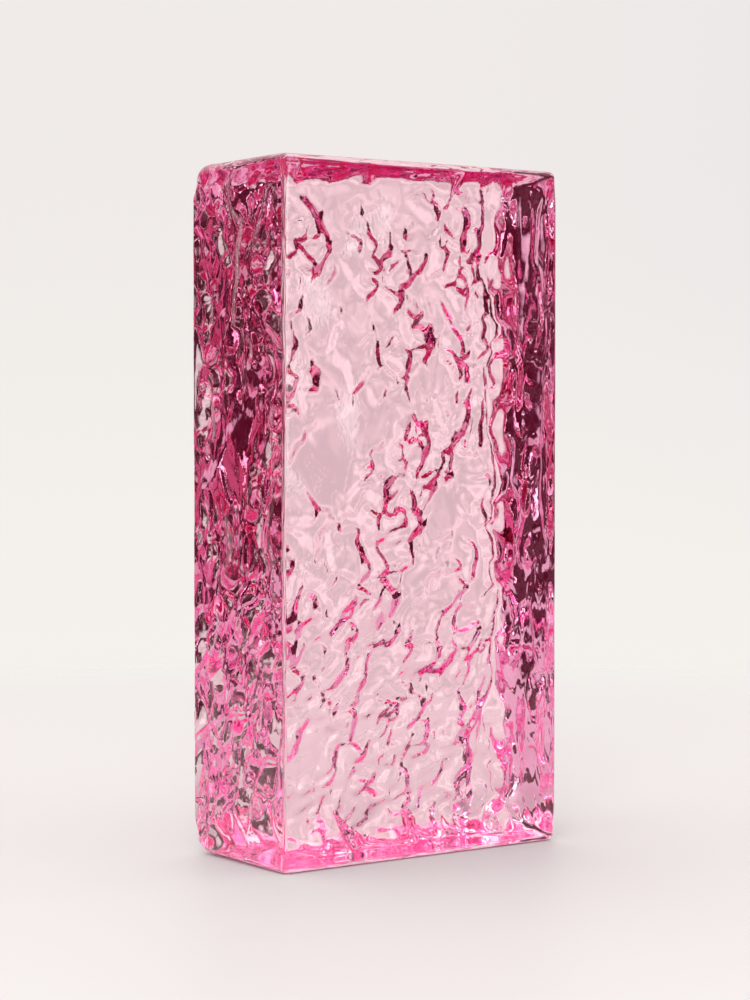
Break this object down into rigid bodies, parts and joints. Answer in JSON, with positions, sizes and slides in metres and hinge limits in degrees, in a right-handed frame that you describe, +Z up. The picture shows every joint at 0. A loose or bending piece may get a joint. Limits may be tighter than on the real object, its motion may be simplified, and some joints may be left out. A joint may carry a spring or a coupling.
{
  "type": "solid glass block",
  "caption": "Solid cast glass building block, tinted pink, with a nearly smooth wide face, a deeply hammered back face with scalloped hems, and narrow faces.",
  "frame": {"origin": "middle of the flat bottom end, the short end that the block stands on", "axes": "+Z up the block's length, towards its other short end; +X across the wide faces; +Y from the nearly smooth front face to the hammered back face"},
  "size_m": [0.1, 0.0469, 0.2],
  "materials": {
    "pink_glass": "cast, clear pink through the whole thickness, fire-polished relief"
  },
  "bodies": {
    "root": {"glass_block": "pink_glass"}
  },
  "joints": []
}
